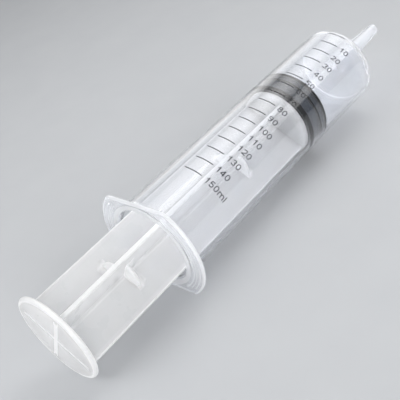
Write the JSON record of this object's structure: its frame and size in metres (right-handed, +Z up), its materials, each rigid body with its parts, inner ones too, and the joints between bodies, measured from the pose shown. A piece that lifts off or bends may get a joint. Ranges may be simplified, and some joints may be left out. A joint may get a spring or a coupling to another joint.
{
  "type": "dosing syringe",
  "caption": "Large clear dosing syringe with a long tapered nozzle, finger flange, ribbed plunger rod and black rubber stopper that slides in the barrel.",
  "frame": {"origin": "under the middle of the whole length, on the surface that the flange's flat side rests on", "axes": "+Y along the barrel's axis towards the nozzle, +X along the finger wings, +Z up"},
  "size_m": [0.0596, 0.2576, 0.0479],
  "materials": {
    "clear_polypropylene": "clear moulded",
    "milky_polypropylene": "milky moulded",
    "black_rubber": "moulded rubber"
  },
  "bodies": {
    "barrel": {"barrel": "clear_polypropylene"},
    "stopper": {"stopper": "black_rubber"},
    "plunger_rod": {"plunger_rod": "milky_polypropylene"}
  },
  "joints": [
    {"name": "plunger_slide", "type": "slide", "parent": "barrel", "child": "stopper", "axis": [0, 1, 0], "range_m": [-0.092, 0.0405]},
    {"name": "rod_spin", "type": "hinge", "parent": "stopper", "child": "plunger_rod", "pos_m": [0, 0.027, 0.02395], "axis": [0, 1, 0], "continuous": true}
  ]
}
